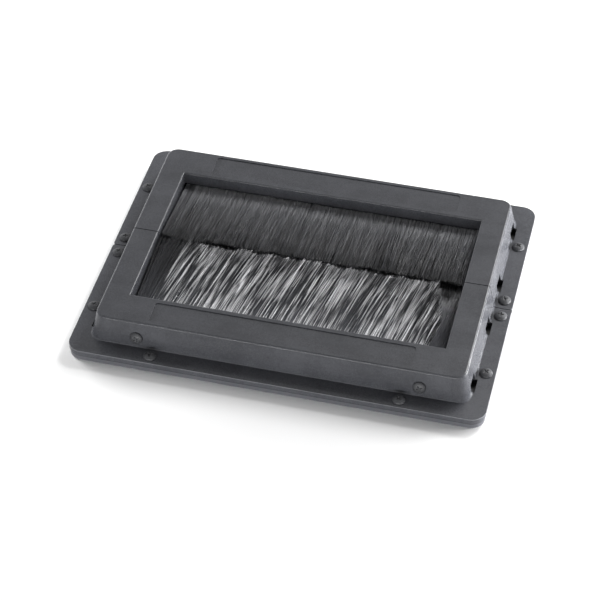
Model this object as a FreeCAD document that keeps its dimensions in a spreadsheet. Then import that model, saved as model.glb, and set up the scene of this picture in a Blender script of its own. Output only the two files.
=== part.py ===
import FreeCAD, Part
import os
import re

import Sketcher

# Brush cable grommet for a floor cut-out, in millimetres.
# Two like halves meet on the plane y = 0. Each half is a moulded frame on a base plate, with two strip
# brushes behind its long rail. X runs along the long rails, the front half lies on the -Y side, Z is up,
# and the origin is the middle of the underside.

SIZES = {
    # Cable opening
    "opening_length": 213.0,
    "opening_depth": 129.0,
    "opening_edge_round": 1.2,
    "apron_clearance": 0.75,
    # Raised frame with leaning outer walls: rail widths are taken on the top face
    "end_rail": 17.6,
    "long_rail": 25.2,
    "end_lean": 3.6,
    "long_lean": 3.5,
    "rail_height": 18.4,
    "rail_corner": 8.0,
    "wall": 2.6,
    "roof": 3.0,
    "top_edge_round": 1.5,
    "foot_bevel": 0.7,
    # Flange and base plate
    "end_margin": 12.3,
    "long_margin": 13.4,
    "flange_corner": 10.0,
    "flange_thickness": 4.3,
    "meeting_corner": 1.6,
    "seam_gap": 0.6,
    "base_thickness": 4.8,
    "base_inset": 0.6,
    "base_bevel": 0.6,
    # Bare recessed panel on each long rail
    "panel_end_margin": 18.5,
    "panel_inner_margin": 3.6,
    "panel_outer_margin": 3.0,
    "panel_corner": 2.5,
    "panel_recess": 0.6,
    # Windows at the foot of the end walls
    "window_length": 12.4,
    "window_height": 5.6,
    "window_reach": 1.8,
    "seam_window_place": 21.4,
    "corner_window_inset": 17.2,
    # Screws, all alike
    "head_diameter": 8.8,
    "head_height": 2.2,
    "shank_diameter": 4.2,
    "screw_cover": 1.0,
    "screw_clearance": 0.2,
    "tip_room": 0.4,
    # Screw places: from the flange's edge, the seam, the opening's ends and the flange's upper face
    "screw_edge": 6.4,
    "seam_screw_place": 7.9,
    "corner_screw_inset": 43.4,
    "long_screw_inset": 23.0,
    "wall_screw_inset": 11.5,
    "wall_screw_rise": 6.3,
    # Brush holder
    "holder_overlap": 4.5,
    "holder_floor": 1.3,
    "holder_lip": 1.2,
    "holder_back": 2.6,
    "mouth_room": 1.2,
    "boss_diameter": 8.6,
    "fit_gap": 0.15,
    # Strip brushes
    "strip_end_gap": 1.2,
    "strip_spacing": 7.6,
    "channel_depth": 4.6,
    "channel_height": 4.4,
    "channel_wall": 0.7,
    "core_wire": 1.3,
    "bristle_thickness": 1.8,
    "tip_thickness": 2.6,
    "upper_rise": 6.0,
    "lower_rise": 2.0,
    "tip_gap": 1.2,
    # Tufts: the gaps between them open towards the tips
    "tuft_pitch": 8.0,
    "tuft_root_gap": 0.2,
    "tuft_tip_gap": 1.4,
    "tuft_lean": 7.0,
}

# Plan sizes, worked outwards from the opening
TOP_LENGTH = "(opening_length + 2 * end_rail)"
TOP_DEPTH = "(opening_depth + 2 * long_rail)"
FOOT_LENGTH = f"({TOP_LENGTH} + 2 * end_lean)"
FOOT_DEPTH = f"({TOP_DEPTH} + 2 * long_lean)"
FLANGE_LENGTH = f"({FOOT_LENGTH} + 2 * end_margin)"
FLANGE_DEPTH = f"({FOOT_DEPTH} + 2 * long_margin)"
STRIP_LENGTH = "(opening_length - 2 * strip_end_gap)"
END_SCREW_PLACE = f"({FLANGE_LENGTH} / 2 - screw_edge)"
LONG_SCREW_LINE = f"({FLANGE_DEPTH} / 2 - screw_edge)"
CORNER_SCREW_PLACE = f"({FLANGE_DEPTH} / 2 - corner_screw_inset)"
LONG_SCREW_PLACE = "(opening_length / 2 - long_screw_inset)"
WALL_SCREW_PLACE = "(opening_length / 2 - wall_screw_inset)"
CORNER_WINDOW_PLACE = f"({FOOT_DEPTH} / 2 - corner_window_inset)"

# Heights and leans
FLANGE_TOP = "(base_thickness + flange_thickness)"
RAIL_TOP = f"({FLANGE_TOP} + rail_height)"
LONG_DRAFT = "(long_lean / rail_height)"
END_DRAFT = "(end_lean / rail_height)"
LONG_DRAFT_COSINE = f"(1 / sqrt(1 + {LONG_DRAFT}^2))"
SCREW_LENGTH = "(flange_thickness + base_thickness - screw_cover)"

# Section of the brush holder and its two strips, from the opening outwards
SLOT_HEIGHT = "(channel_height + 2 * fit_gap)"
SLOT_MOUTH = "(bristle_thickness + mouth_room)"
HOLDER_FRONT = "(-opening_depth / 2 - wall - fit_gap)"
SLOT_FRONT = f"({HOLDER_FRONT} - holder_lip)"
SLOT_END = f"({SLOT_FRONT} - channel_depth - 2 * fit_gap)"
HOLDER_BACK = f"({SLOT_END} - holder_back)"
CHANNEL_FRONT = f"({SLOT_FRONT} - fit_gap)"
CHANNEL_BACK = f"({CHANNEL_FRONT} - channel_depth)"
ROOT_FRONT = f"({CHANNEL_FRONT} - channel_wall - fit_gap)"
ROOT_BACK = f"({CHANNEL_BACK} + channel_wall + fit_gap)"
ROOT_MIDDLE = f"(({ROOT_FRONT} + {ROOT_BACK}) / 2)"
LOWER_STRIP = f"(base_thickness + holder_floor + {SLOT_HEIGHT} / 2)"
UPPER_STRIP = f"({LOWER_STRIP} + strip_spacing)"
HOLDER_TOP = f"({UPPER_STRIP} + {SLOT_HEIGHT} / 2 + holder_floor)"
APRON_EDGE = f"({UPPER_STRIP} + {SLOT_MOUTH} / 2 + apron_clearance)"

X_AXIS = FreeCAD.Vector(1, 0, 0)
Y_AXIS = FreeCAD.Vector(0, 1, 0)
Z_AXIS = FreeCAD.Vector(0, 0, 1)
SCREW_SIDES = 16
NEAR = 0.02

doc = FreeCAD.newDocument("brush_cable_grommet")
sheet = doc.addObject("Spreadsheet::Sheet", "sizes")
for row, (alias, number) in enumerate(SIZES.items(), start=1):
    sheet.set(f"A{row}", alias)
    sheet.set(f"B{row}", str(number))
    sheet.setAlias(f"B{row}", alias)
doc.recompute()


def formula(text):
    """Points each size that a formula names at its cell in the sheet."""
    return re.sub(r"[a-z]\w+", lambda word: f"sizes.{word[0]}" if word[0] in SIZES else word[0], text)


def bind(thing, place, text):
    thing.setExpression(place, formula(text))


def value(owner, text):
    return owner.evalExpression(formula(text))


def new_body(name, turn):
    body = doc.addObject("PartDesign::Body", name)
    body.Label = name
    body.Placement = FreeCAD.Placement(FreeCAD.Vector(), FreeCAD.Rotation(Z_AXIS, turn))
    return body


def origin_plane(body, role):
    return next(plane for plane in body.Origin.OriginFeatures if plane.Role == role)


def sketch_on(body, name, role, offset="0"):
    """Starts a sketch on one of the body's origin planes, lifted along the plane's normal."""
    sketch = body.newObject("Sketcher::SketchObject", name)
    sketch.AttachmentSupport = [(origin_plane(body, role), "")]
    sketch.MapMode = "FlatFace"
    bind(sketch, "AttachmentOffset.Base.z", offset)
    return sketch


def sketch_on_long_wall(body, name, inset="0"):
    """Starts a sketch on the leaning outer wall of the front rail: its y runs up the wall from the foot."""
    sketch = sketch_on(body, name, "XZ_Plane", f"{FOOT_DEPTH} / 2 - {inset}")
    sketch.AttachmentOffset = FreeCAD.Placement(FreeCAD.Vector(), FreeCAD.Rotation(X_AXIS, -1))
    bind(sketch, "AttachmentOffset.Base.y", FLANGE_TOP)
    bind(sketch, "AttachmentOffset.Rotation.Angle", f"-atan({LONG_DRAFT})")
    return sketch


def pin(sketch, geometry, vertex, x, y):
    """Dimensions a sketch point from the origin by two formulas."""
    for kind, text in (("DistanceX", x), ("DistanceY", y)):
        rule = Sketcher.Constraint(kind, -1, 1, geometry, vertex, value(sketch, text))
        bind(sketch, f"Constraints[{sketch.addConstraint(rule)}]", text)


def set_radius(sketch, geometry, radius):
    rule = Sketcher.Constraint("Radius", geometry, value(sketch, radius))
    bind(sketch, f"Constraints[{sketch.addConstraint(rule)}]", radius)


def polygon(sketch, corners):
    first = sketch.GeometryCount
    points = [FreeCAD.Vector(value(sketch, x), value(sketch, y), 0) for x, y in corners]
    for start, end in zip(points, points[1:] + points[:1]):
        sketch.addGeometry(Part.LineSegment(start, end))
    for number in range(len(points)):
        following = first + (number + 1) % len(points)
        sketch.addConstraint(Sketcher.Constraint("Coincident", first + number, 2, following, 1))
    for number, (x, y) in enumerate(corners):
        pin(sketch, first + number, 1, x, y)


def rectangle(sketch, left, bottom, right, top):
    polygon(sketch, [(left, bottom), (right, bottom), (right, top), (left, top)])


def circle(sketch, x, y, radius):
    middle = FreeCAD.Vector(value(sketch, x), value(sketch, y), 0)
    ring = sketch.addGeometry(Part.Circle(middle, Z_AXIS, value(sketch, radius)))
    pin(sketch, ring, 3, x, y)
    set_radius(sketch, ring, radius)


def pad(body, sketch, length, reverse=False, both_ways=False):
    feature = body.newObject("PartDesign::Pad", sketch.Name + "_pad")
    feature.Profile = sketch
    feature.Reversed = reverse
    feature.SideType = "Symmetric" if both_ways else "One side"
    bind(feature, "Length", length)
    doc.recompute()
    return feature


def pocket(body, sketch, length=None, reverse=False):
    """Cuts a sketch into the body, right through it if no length is given."""
    volume_before = body.Tip.Shape.Volume
    feature = body.newObject("PartDesign::Pocket", sketch.Name + "_pocket")
    feature.Profile = sketch
    feature.Reversed = reverse
    feature.Type = "Length" if length else "ThroughAll"
    if length:
        bind(feature, "Length", length)
    doc.recompute()
    if feature.Shape.Volume >= volume_before:
        raise ValueError(f"{feature.Name} cuts nothing")
    return feature


def primitive(body, kind, name, role, bounds):
    """Adds or cuts a ready-made form on one of the body's origin planes."""
    feature = body.newObject(f"PartDesign::{kind}", name)
    feature.AttachmentSupport = [(origin_plane(body, role), "")]
    feature.MapMode = "FlatFace"
    for place, text in bounds.items():
        bind(feature, place, text)
    doc.recompute()
    return feature


def edge_names(feature, chosen):
    return [f"Edge{number}" for number, edge in enumerate(feature.Shape.Edges, start=1) if chosen(edge)]


def dress(body, kind, name, size, chosen):
    """Fillets or chamfers the chosen edges of the body's last feature."""
    base = body.Tip
    feature = body.newObject(f"PartDesign::{kind}", name)
    feature.Base = (base, edge_names(base, chosen))
    bind(feature, "Radius" if kind == "Fillet" else "Size", size)
    doc.recompute()
    return feature


def close(first, second):
    return abs(first - second) < NEAR


def level(edge, height):
    """True for an edge that lies at one height."""
    return close(edge.BoundBox.ZMin, height) and close(edge.BoundBox.ZMax, height)


def upright(edge):
    box = edge.BoundBox
    return box.ZLength > NEAR and box.XLength < NEAR and box.YLength < NEAR


def within(edge, half_length, half_depth):
    """True for an edge that lies inside a plan rectangle round the origin."""
    box = edge.BoundBox
    reach = max(-box.XMin, box.XMax)
    return reach < half_length + NEAR and -box.YMin < half_depth + NEAR


def on_seam(edge, body):
    return edge.BoundBox.YMin > value(body, "-seam_gap / 2") - NEAR


def half_frame(name, turn):
    """One moulding: a flange with a hollow raised U on it, open towards the brushes under its apron."""
    body = new_body(name, turn)

    sketch = sketch_on(body, "flange_outline", "XY_Plane", "base_thickness")
    rectangle(sketch, f"-{FLANGE_LENGTH} / 2", f"-{FLANGE_DEPTH} / 2",
              f"{FLANGE_LENGTH} / 2", "-seam_gap / 2")
    pad(body, sketch, "flange_thickness")
    dress(body, "Fillet", "flange_corners", "flange_corner",
          lambda edge: upright(edge) and not on_seam(edge, body))
    dress(body, "Fillet", "meeting_corners", "meeting_corner",
          lambda edge: upright(edge) and on_seam(edge, body))

    # A wedge on this plane has its own Y upwards and its own Z towards the front.
    primitive(body, "AdditiveWedge", "raised_block", "XZ_Plane", {
        "Ymin": FLANGE_TOP, "Ymax": RAIL_TOP,
        "Xmin": f"-{FOOT_LENGTH} / 2", "Xmax": f"{FOOT_LENGTH} / 2",
        "X2min": f"-{TOP_LENGTH} / 2", "X2max": f"{TOP_LENGTH} / 2",
        "Zmin": "seam_gap / 2", "Zmax": f"{FOOT_DEPTH} / 2",
        "Z2min": "seam_gap / 2", "Z2max": f"{TOP_DEPTH} / 2",
    })
    rail_height = value(body, "rail_height")
    dress(body, "Fillet", "rail_corners", "rail_corner",
          lambda edge: close(edge.BoundBox.ZLength, rail_height) and not on_seam(edge, body))
    rail_top = value(body, RAIL_TOP)
    dress(body, "Fillet", "top_edge", "top_edge_round",
          lambda edge: level(edge, rail_top) and not on_seam(edge, body))
    foot_level = value(body, FLANGE_TOP)
    foot_half = (value(body, f"{FOOT_LENGTH} / 2"), value(body, f"{FOOT_DEPTH} / 2"))
    dress(body, "Chamfer", "foot_edge", "foot_bevel",
          lambda edge: level(edge, foot_level) and within(edge, *foot_half) and not on_seam(edge, body))

    primitive(body, "SubtractiveWedge", "hollow", "XZ_Plane", {
        "Ymin": "base_thickness", "Ymax": f"{RAIL_TOP} - roof",
        "Xmin": f"-({FOOT_LENGTH} / 2 + {END_DRAFT} * flange_thickness - wall)",
        "Xmax": f"{FOOT_LENGTH} / 2 + {END_DRAFT} * flange_thickness - wall",
        "X2min": f"-({TOP_LENGTH} / 2 + {END_DRAFT} * roof - wall)",
        "X2max": f"{TOP_LENGTH} / 2 + {END_DRAFT} * roof - wall",
        "Zmin": "seam_gap / 2 + wall", "Zmax": f"{FOOT_DEPTH} / 2 + {LONG_DRAFT} * flange_thickness - wall",
        "Z2min": "seam_gap / 2 + wall", "Z2max": f"{TOP_DEPTH} / 2 + {LONG_DRAFT} * roof - wall",
    })
    hollow_height = value(body, "flange_thickness + rail_height - roof")
    hollow_seam = value(body, "-(seam_gap / 2 + wall)")
    dress(body, "Fillet", "hollow_corners", "rail_corner - wall",
          lambda edge: close(edge.BoundBox.ZLength, hollow_height) and edge.BoundBox.YMax < hollow_seam - NEAR)

    sketch = sketch_on(body, "inner_walls", "XY_Plane", "base_thickness")
    polygon(sketch, [
        ("-opening_length / 2 - wall", "-opening_depth / 2 - wall"),
        ("opening_length / 2 + wall", "-opening_depth / 2 - wall"),
        ("opening_length / 2 + wall", "-seam_gap / 2"),
        ("opening_length / 2", "-seam_gap / 2"),
        ("opening_length / 2", "-opening_depth / 2"),
        ("-opening_length / 2", "-opening_depth / 2"),
        ("-opening_length / 2", "-seam_gap / 2"),
        ("-opening_length / 2 - wall", "-seam_gap / 2"),
    ])
    pad(body, sketch, "flange_thickness + rail_height - roof / 2")
    sketch = sketch_on(body, "opening", "XY_Plane", RAIL_TOP)
    rectangle(sketch, "-opening_length / 2", "-opening_depth / 2", "opening_length / 2", "wall")
    pocket(body, sketch)
    opening_half = (value(body, "opening_length / 2"), value(body, "opening_depth / 2"))
    dress(body, "Fillet", "opening_edge", "opening_edge_round",
          lambda edge: level(edge, rail_top) and within(edge, *opening_half) and not on_seam(edge, body))

    sketch = sketch_on(body, "brush_exit", "XY_Plane", "base_thickness")
    rectangle(sketch, "-opening_length / 2", "-opening_depth / 2 - wall",
              "opening_length / 2", "-opening_depth / 2 + wall")
    pocket(body, sketch, f"{APRON_EDGE} - base_thickness", reverse=True)

    sketch = sketch_on(body, "panel", "XY_Plane", RAIL_TOP)
    rectangle(sketch, "-opening_length / 2 + panel_end_margin", f"-{TOP_DEPTH} / 2 + panel_outer_margin",
              "opening_length / 2 - panel_end_margin", "-opening_depth / 2 - panel_inner_margin")
    pocket(body, sketch, "panel_recess")
    panel_recess = value(body, "panel_recess")
    panel_half = value(body, "opening_length / 2 - panel_end_margin")
    dress(body, "Fillet", "panel_corners", "panel_corner",
          lambda edge: upright(edge) and close(edge.BoundBox.ZLength, panel_recess)
          and close(abs(edge.BoundBox.XMax), panel_half))

    sketch = sketch_on(body, "end_windows", "XY_Plane", f"{FLANGE_TOP} + window_height")
    for place in ("seam_window_place", CORNER_WINDOW_PLACE):
        for side in ("-", ""):
            inner = f"{side}({FOOT_LENGTH} / 2 - 2 * wall)"
            outer = f"{side}({FOOT_LENGTH} / 2 + window_reach)"
            rectangle(sketch, inner, f"-{place} - window_length / 2", outer, f"-{place} + window_length / 2")
    pocket(body, sketch, "window_height + flange_thickness")

    sketch = sketch_on(body, "flange_holes", "XY_Plane", FLANGE_TOP)
    for x, y in flange_screw_places():
        circle(sketch, x, f"-({y})", "shank_diameter / 2 + screw_clearance")
    pocket(body, sketch, "flange_thickness")
    sketch = sketch_on_long_wall(body, "wall_holes")
    for side in ("-", ""):
        circle(sketch, f"{side}{WALL_SCREW_PLACE}", f"wall_screw_rise / {LONG_DRAFT_COSINE}",
               "shank_diameter / 2 + screw_clearance")
    pocket(body, sketch, "wall")
    return body


def flange_screw_places():
    """Plan places of one half's flange screws, as distances from the two middle lines."""
    places = []
    for side in ("-", ""):
        places.append((f"{side}{END_SCREW_PLACE}", "seam_screw_place"))
        places.append((f"{side}{END_SCREW_PLACE}", CORNER_SCREW_PLACE))
        places.append((f"{side}{LONG_SCREW_PLACE}", LONG_SCREW_LINE))
    return places


def base_plate(name, turn):
    """The lower layer of the flange: a flat U with blind holes for the flange screws."""
    body = new_body(name, turn)
    sketch = sketch_on(body, "plate_outline", "XY_Plane")
    polygon(sketch, [
        (f"-{FLANGE_LENGTH} / 2 + base_inset", f"-{FLANGE_DEPTH} / 2 + base_inset"),
        (f"{FLANGE_LENGTH} / 2 - base_inset", f"-{FLANGE_DEPTH} / 2 + base_inset"),
        (f"{FLANGE_LENGTH} / 2 - base_inset", "-seam_gap / 2"),
        ("opening_length / 2", "-seam_gap / 2"),
        ("opening_length / 2", "-opening_depth / 2"),
        ("-opening_length / 2", "-opening_depth / 2"),
        ("-opening_length / 2", "-seam_gap / 2"),
        (f"-{FLANGE_LENGTH} / 2 + base_inset", "-seam_gap / 2"),
    ])
    pad(body, sketch, "base_thickness")
    plate_front = value(body, f"-{FLANGE_DEPTH} / 2 + base_inset")
    plate_half = value(body, f"{FLANGE_LENGTH} / 2 - base_inset")
    opening_half = (value(body, "opening_length / 2"), value(body, "opening_depth / 2"))
    dress(body, "Fillet", "plate_corners", "flange_corner - base_inset",
          lambda edge: upright(edge) and close(edge.BoundBox.YMin, plate_front))
    dress(body, "Fillet", "plate_meeting_corners", "meeting_corner",
          lambda edge: upright(edge) and on_seam(edge, body) and close(abs(edge.BoundBox.XMax), plate_half))
    dress(body, "Chamfer", "plate_edge", "base_bevel",
          lambda edge: level(edge, 0) and not within(edge, *opening_half) and not on_seam(edge, body))
    sketch = sketch_on(body, "thread_holes", "XY_Plane", "base_thickness")
    for x, y in flange_screw_places():
        circle(sketch, x, f"-({y})", "shank_diameter / 2 + fit_gap / 2")
    pocket(body, sketch, "base_thickness - screw_cover + tip_room")
    return body


def brush_holder(name, turn):
    """The bar behind the long rail: two slots for the strip brushes and two bosses for the wall screws."""
    body = new_body(name, turn)
    corners = [(HOLDER_FRONT, "base_thickness")]
    for height in (LOWER_STRIP, UPPER_STRIP):
        corners += [
            (HOLDER_FRONT, f"{height} - {SLOT_MOUTH} / 2"),
            (SLOT_FRONT, f"{height} - {SLOT_MOUTH} / 2"),
            (SLOT_FRONT, f"{height} - {SLOT_HEIGHT} / 2"),
            (SLOT_END, f"{height} - {SLOT_HEIGHT} / 2"),
            (SLOT_END, f"{height} + {SLOT_HEIGHT} / 2"),
            (SLOT_FRONT, f"{height} + {SLOT_HEIGHT} / 2"),
            (SLOT_FRONT, f"{height} + {SLOT_MOUTH} / 2"),
            (HOLDER_FRONT, f"{height} + {SLOT_MOUTH} / 2"),
        ]
    corners += [(HOLDER_FRONT, HOLDER_TOP), (HOLDER_BACK, HOLDER_TOP), (HOLDER_BACK, "base_thickness")]
    sketch = sketch_on(body, "bar_section", "YZ_Plane")
    polygon(sketch, corners)
    pad(body, sketch, "opening_length + 2 * holder_overlap", both_ways=True)

    # The bosses stand square on the inner face of the leaning wall, so their axis dips towards the bar.
    along_wall = f"wall_screw_rise / {LONG_DRAFT_COSINE} - wall * {LONG_DRAFT} * {LONG_DRAFT_COSINE}"
    wall_to_bar = f"({FOOT_DEPTH} / 2 - {LONG_DRAFT} * wall_screw_rise - wall + {HOLDER_BACK})"
    sketch = sketch_on_long_wall(body, "bosses", "wall")
    for side in ("-", ""):
        circle(sketch, f"{side}{WALL_SCREW_PLACE}", along_wall, "boss_diameter / 2")
    pad(body, sketch, f"{wall_to_bar} / {LONG_DRAFT_COSINE} + holder_back / 2", reverse=True)
    sketch = sketch_on_long_wall(body, "boss_holes", "wall")
    for side in ("-", ""):
        circle(sketch, f"{side}{WALL_SCREW_PLACE}", along_wall, "shank_diameter / 2 + fit_gap / 2")
    pocket(body, sketch, f"{SCREW_LENGTH} - wall * {LONG_DRAFT_COSINE} + tip_room")
    return body


def brush_channel(name, turn, height):
    """The folded metal channel that grips the bristles and their core wire."""
    body = new_body(name, turn)
    mouth = "(bristle_thickness / 2 + fit_gap)"
    lip = f"({CHANNEL_FRONT} - channel_wall)"
    back = f"({CHANNEL_BACK} + channel_wall)"
    half = "(channel_height / 2)"
    inner_half = "(channel_height / 2 - channel_wall)"
    sketch = sketch_on(body, "channel_section", "YZ_Plane")
    polygon(sketch, [
        (CHANNEL_BACK, f"{height} - {half}"),
        (CHANNEL_FRONT, f"{height} - {half}"),
        (CHANNEL_FRONT, f"{height} - {mouth}"),
        (lip, f"{height} - {mouth}"),
        (lip, f"{height} - {inner_half}"),
        (back, f"{height} - {inner_half}"),
        (back, f"{height} + {inner_half}"),
        (lip, f"{height} + {inner_half}"),
        (lip, f"{height} + {mouth}"),
        (CHANNEL_FRONT, f"{height} + {mouth}"),
        (CHANNEL_FRONT, f"{height} + {half}"),
        (CHANNEL_BACK, f"{height} + {half}"),
    ])
    pad(body, sketch, STRIP_LENGTH, both_ways=True)
    return body


def core_wire(name, side, height):
    wire = doc.addObject("Part::Cylinder", name)
    wire.Label = name
    wire.Placement = FreeCAD.Placement(FreeCAD.Vector(), FreeCAD.Rotation(Y_AXIS, 90))
    bind(wire, "Radius", "core_wire / 2")
    bind(wire, "Height", STRIP_LENGTH)
    bind(wire, "Placement.Base.x", f"-{STRIP_LENGTH} / 2")
    bind(wire, "Placement.Base.y", f"{side}{ROOT_MIDDLE}")
    bind(wire, "Placement.Base.z", height)
    return wire


def bristles(name, turn, height, rise):
    """A curtain of tufts: folded over the wire in the channel, then rising gently to the middle line."""
    body = new_body(name, turn)
    root_half = "(channel_height / 2 - channel_wall - fit_gap)"
    tip = "(-tip_gap / 2)"
    sketch = sketch_on(body, "curtain_section", "YZ_Plane")
    polygon(sketch, [
        (ROOT_BACK, f"{height} - {root_half}"),
        (ROOT_FRONT, f"{height} - {root_half}"),
        (ROOT_FRONT, f"{height} - bristle_thickness / 2"),
        (HOLDER_FRONT, f"{height} - bristle_thickness / 2"),
        (tip, f"{height} + {rise} - tip_thickness / 2"),
        (tip, f"{height} + {rise} + tip_thickness / 2"),
        (HOLDER_FRONT, f"{height} + bristle_thickness / 2"),
        (ROOT_FRONT, f"{height} + bristle_thickness / 2"),
        (ROOT_FRONT, f"{height} + {root_half}"),
        (ROOT_BACK, f"{height} + {root_half}"),
    ])
    circle(sketch, ROOT_MIDDLE, height, "core_wire / 2 + fit_gap / 2")
    pad(body, sketch, STRIP_LENGTH, both_ways=True)

    first_gap = f"(-{STRIP_LENGTH} / 2 + tuft_pitch)"
    gap_root = "(-opening_depth / 2)"
    gap_end = "(tip_gap / 2)"
    sketch = sketch_on(body, "tuft_gap", "XY_Plane")
    polygon(sketch, [
        (f"{first_gap} - tuft_root_gap / 2", gap_root),
        (f"{first_gap} + tuft_root_gap / 2", gap_root),
        (f"{first_gap} + tuft_lean + tuft_tip_gap / 2", gap_end),
        (f"{first_gap} + tuft_lean - tuft_tip_gap / 2", gap_end),
    ])
    gap = pocket(body, sketch, reverse=True)
    pattern = body.newObject("PartDesign::LinearPattern", "tuft_gaps")
    pattern.Originals = [gap]
    pattern.Direction = (origin_plane(body, "X_Axis"), [""])
    pattern.Mode = "Spacing"
    bind(pattern, "Offset", "tuft_pitch")
    bind(pattern, "Occurrences", f"floor({STRIP_LENGTH} / tuft_pitch) - 1")
    body.Tip = pattern
    doc.recompute()
    return body


def pan_head_screw():
    """The screw that every fastening uses: its head's seat is at the origin and its shank points down.

    There are sixteen of them, so head and shank are many-sided prisms with few faces.
    """
    body = new_body("pan_head_screw", 0)
    shank = primitive(body, "AdditivePrism", "screw_shank", "XY_Plane", {
        "Circumradius": "shank_diameter / 2", "Height": SCREW_LENGTH, "AttachmentOffset.Base.z": f"-{SCREW_LENGTH}",
    })
    head = primitive(body, "AdditivePrism", "screw_head", "XY_Plane", {
        "Circumradius": "head_diameter / 2", "Height": "head_height",
    })
    for prism in (shank, head):
        prism.Polygon = SCREW_SIDES
    doc.recompute()
    return body


def screw_group(name, screw, places):
    """Places one screw several times: each place gives x, y and z and the lean from upright about X."""
    copies = []
    for x, y, z, lean in places:
        copy = doc.addObject("App::Link", name + "_copy")
        copy.LinkedObject = screw
        copy.Placement = FreeCAD.Placement(FreeCAD.Vector(), FreeCAD.Rotation(X_AXIS, 1))
        bind(copy, "Placement.Base.x", x)
        bind(copy, "Placement.Base.y", y)
        bind(copy, "Placement.Base.z", z)
        bind(copy, "Placement.Rotation.Angle", lean)
        copies.append(copy)
    group = doc.addObject("Part::Compound", name)
    group.Label = name
    group.Links = copies
    return group


def half(prefix, turn, side, screw):
    """All pieces of one half. The rear half is the front one turned about Z."""
    flange_places = [(x, f"{side}{y}", FLANGE_TOP, "0") for x, y in flange_screw_places()]
    wall_line = f"{side}({FOOT_DEPTH} / 2 - {LONG_DRAFT} * wall_screw_rise)"
    wall_lean = f"{'' if side == '-' else '-'}(90 - atan({LONG_DRAFT}) / 1deg)"
    wall_places = [
        (f"{end}{WALL_SCREW_PLACE}", wall_line, f"{FLANGE_TOP} + wall_screw_rise", wall_lean)
        for end in ("-", "")
    ]
    pieces = [
        half_frame(f"{prefix}_frame", turn),
        base_plate(f"{prefix}_base_plate", turn),
        brush_holder(f"{prefix}_brush_holder", turn),
        screw_group(f"{prefix}_flange_screws", screw, flange_places),
        screw_group(f"{prefix}_wall_screws", screw, wall_places),
    ]
    wire_side = "" if side == "-" else "-"
    for layer, height, rise in (("upper", UPPER_STRIP, "upper_rise"), ("lower", LOWER_STRIP, "lower_rise")):
        pieces += [
            brush_channel(f"{prefix}_{layer}_channel", turn, height),
            core_wire(f"{prefix}_{layer}_wire", wire_side, height),
            bristles(f"{prefix}_{layer}_bristles", turn, height, rise),
        ]
    return pieces


screw_model = pan_head_screw()
pieces = half("front", 0, "-", screw_model) + half("rear", 180, "", screw_model)
doc.recompute()

for thing in doc.Objects:
    if "Invalid" in thing.State or "Error" in thing.State:
        raise RuntimeError(f"{thing.Label} did not build: {thing.State}")
for piece in pieces:
    if piece.Shape.isNull() or not piece.Shape.isValid():
        raise RuntimeError(f"{piece.Label} has no sound shape")

os.makedirs("parts", exist_ok=True)
for piece in pieces:
    piece.Shape.exportStep(f"parts/{piece.Label}.step")
    print(piece.Label, len(piece.Shape.Solids), "solids", round(piece.Shape.Volume), "mm3")
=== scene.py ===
# %% [markdown]
# # Brush cable grommet
# The object is a cable grommet for a raised floor: two like half frames of charcoal plastic on base
# plates, each with an upper and a lower strip brush, whose bristles meet over the cable opening. The
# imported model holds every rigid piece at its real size. This script loads it, finishes its surfaces, and
# grows what a solid model holds only roughly: the single bristles and the cross-recessed screw heads.
# Lengths are in metres.

import math

import bmesh
import bpy
import numpy as np
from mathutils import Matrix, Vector


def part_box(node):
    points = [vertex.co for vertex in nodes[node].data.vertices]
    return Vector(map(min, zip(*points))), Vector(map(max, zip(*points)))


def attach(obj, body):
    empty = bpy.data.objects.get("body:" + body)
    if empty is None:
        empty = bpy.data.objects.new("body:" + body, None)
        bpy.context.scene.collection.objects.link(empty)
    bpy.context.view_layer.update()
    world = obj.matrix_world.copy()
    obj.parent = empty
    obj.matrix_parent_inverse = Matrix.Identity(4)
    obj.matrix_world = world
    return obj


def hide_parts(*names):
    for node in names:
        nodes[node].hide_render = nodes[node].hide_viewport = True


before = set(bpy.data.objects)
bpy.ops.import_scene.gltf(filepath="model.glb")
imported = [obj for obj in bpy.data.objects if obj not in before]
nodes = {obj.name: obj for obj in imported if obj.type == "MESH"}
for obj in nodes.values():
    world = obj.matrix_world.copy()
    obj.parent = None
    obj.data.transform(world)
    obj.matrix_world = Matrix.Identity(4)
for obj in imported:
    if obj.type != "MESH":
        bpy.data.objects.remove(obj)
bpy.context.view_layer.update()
BODY = "root"
MM = 0.001

# %% [markdown]
# ## Camera
# The photograph looks down on the grommet from the front, a little to the right of square. A long lens
# keeps its long edges nearly parallel. A camera can be keyed in by its place and three angles, but an aim
# point, two angles and a distance are easier to read and to correct, and Vector.to_track_quat turns them
# into a rotation.

# %% Camera
AIM = Vector((0.7, -29.8, 14.4)) * MM
AZIMUTH = math.radians(13.8)
ELEVATION = math.radians(43.36)
CAMERA_DISTANCE = 1.432
FOCAL_LENGTH = 127.93


def direction(azimuth, elevation):
    """The way from the object to a viewer or a lamp. Azimuth 0 is straight in front of it."""
    level = math.cos(elevation)
    return Vector((level * math.sin(azimuth), -level * math.cos(azimuth), math.sin(elevation)))


def place_facing(thing, aim, azimuth, elevation, distance):
    """Puts a camera or lamp at a distance from its aim, looking back at it."""
    way = direction(azimuth, elevation)
    thing.location = aim + way * distance
    thing.rotation_euler = way.to_track_quat("Z", "Y").to_euler()
    bpy.context.scene.collection.objects.link(thing)


camera = bpy.data.objects.new("camera", bpy.data.cameras.new("camera"))
camera.data.lens = FOCAL_LENGTH
place_facing(camera, AIM, AZIMUTH, ELEVATION, CAMERA_DISTANCE)
bpy.context.scene.camera = camera
bpy.context.scene.view_settings.view_transform = "Standard"
print("camera at", [round(x / MM) for x in camera.location], "mm")

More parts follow.
